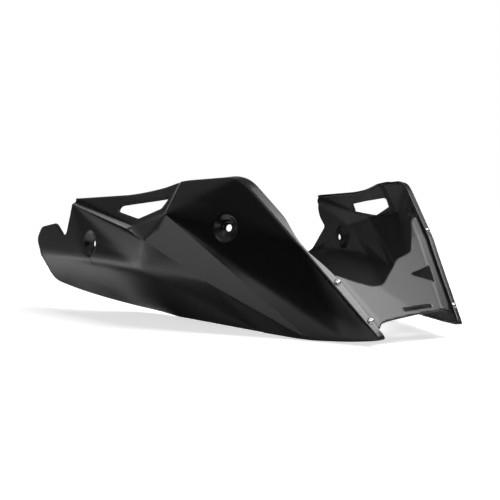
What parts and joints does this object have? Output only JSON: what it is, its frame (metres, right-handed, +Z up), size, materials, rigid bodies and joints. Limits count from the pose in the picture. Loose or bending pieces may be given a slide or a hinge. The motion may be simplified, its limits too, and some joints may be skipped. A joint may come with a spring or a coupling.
{
  "type": "motorcycle belly pan",
  "caption": "Open faceted belly pan in satin black plastic: hooked side panels with vent windows and cupped bosses, joined at a raked nose by a folded plate.",
  "frame": {"origin": "centre of the bounding box on the floor plane that the bottom edges of the panels stand on", "axes": "+X forward to the raked nose, +Y to the left side of the motorcycle, +Z up"},
  "size_m": [0.6009, 0.398, 0.1795],
  "materials": {
    "panel_plastic": "satin moulded black with a fine grain",
    "plate_plastic": "satin black sheet",
    "screw_steel": "plain stainless steel"
  },
  "bodies": {
    "root": {"right_panel": "panel_plastic", "left_panel": "panel_plastic", "front_plate": "plate_plastic", "joint_screws": "screw_steel", "joint_nuts": "screw_steel"}
  },
  "joints": []
}
